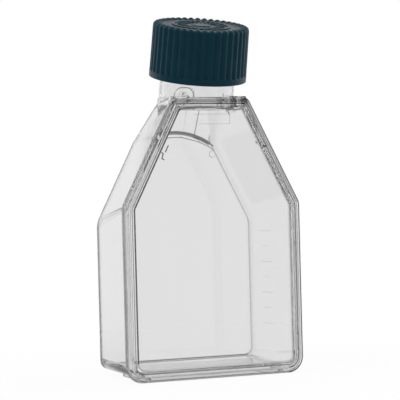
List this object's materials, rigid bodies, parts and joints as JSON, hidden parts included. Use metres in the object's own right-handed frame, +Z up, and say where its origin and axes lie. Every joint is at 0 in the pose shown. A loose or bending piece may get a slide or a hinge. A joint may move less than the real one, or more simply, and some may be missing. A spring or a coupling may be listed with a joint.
{
  "type": "cell culture flask",
  "caption": "Clear flat-sided cell culture flask standing on its end, with sloping shoulders, a welded cover, a canted neck and a dark ribbed screw cap.",
  "frame": {"origin": "centre of the bounding box in X and Y, at the standing plane in Z", "axes": "+Z up along the standing flask, -Y out of the welded cover, +Y out of the growth face, X across the flask"},
  "size_m": [0.0516, 0.0354, 0.0984],
  "materials": {
    "clear_moulding": "clear polished polystyrene",
    "clear_cover": "clear polished polystyrene",
    "dark_cap": "satin polyethylene",
    "pale_liner": "soft satin"
  },
  "bodies": {
    "flask": {"flask_body": "clear_moulding", "cover_plate": "clear_cover"},
    "seal": {"seal_liner": "pale_liner"},
    "cap": {"screw_cap": "dark_cap"}
  },
  "joints": [
    {"name": "cap_lift", "type": "slide", "parent": "flask", "child": "seal", "axis": [0, -0.247, 0.969], "range_m": [0, 0.0045]},
    {"name": "cap_turn", "type": "hinge", "parent": "seal", "child": "cap", "pos_m": [0, -0.00031, 0.076], "axis": [0, -0.247, 0.969], "range_deg": [0, 540]}
  ],
  "couplings": [
    {"joint": "cap_lift", "follows": "cap_turn", "m_per_rad": 0.00047746}
  ]
}
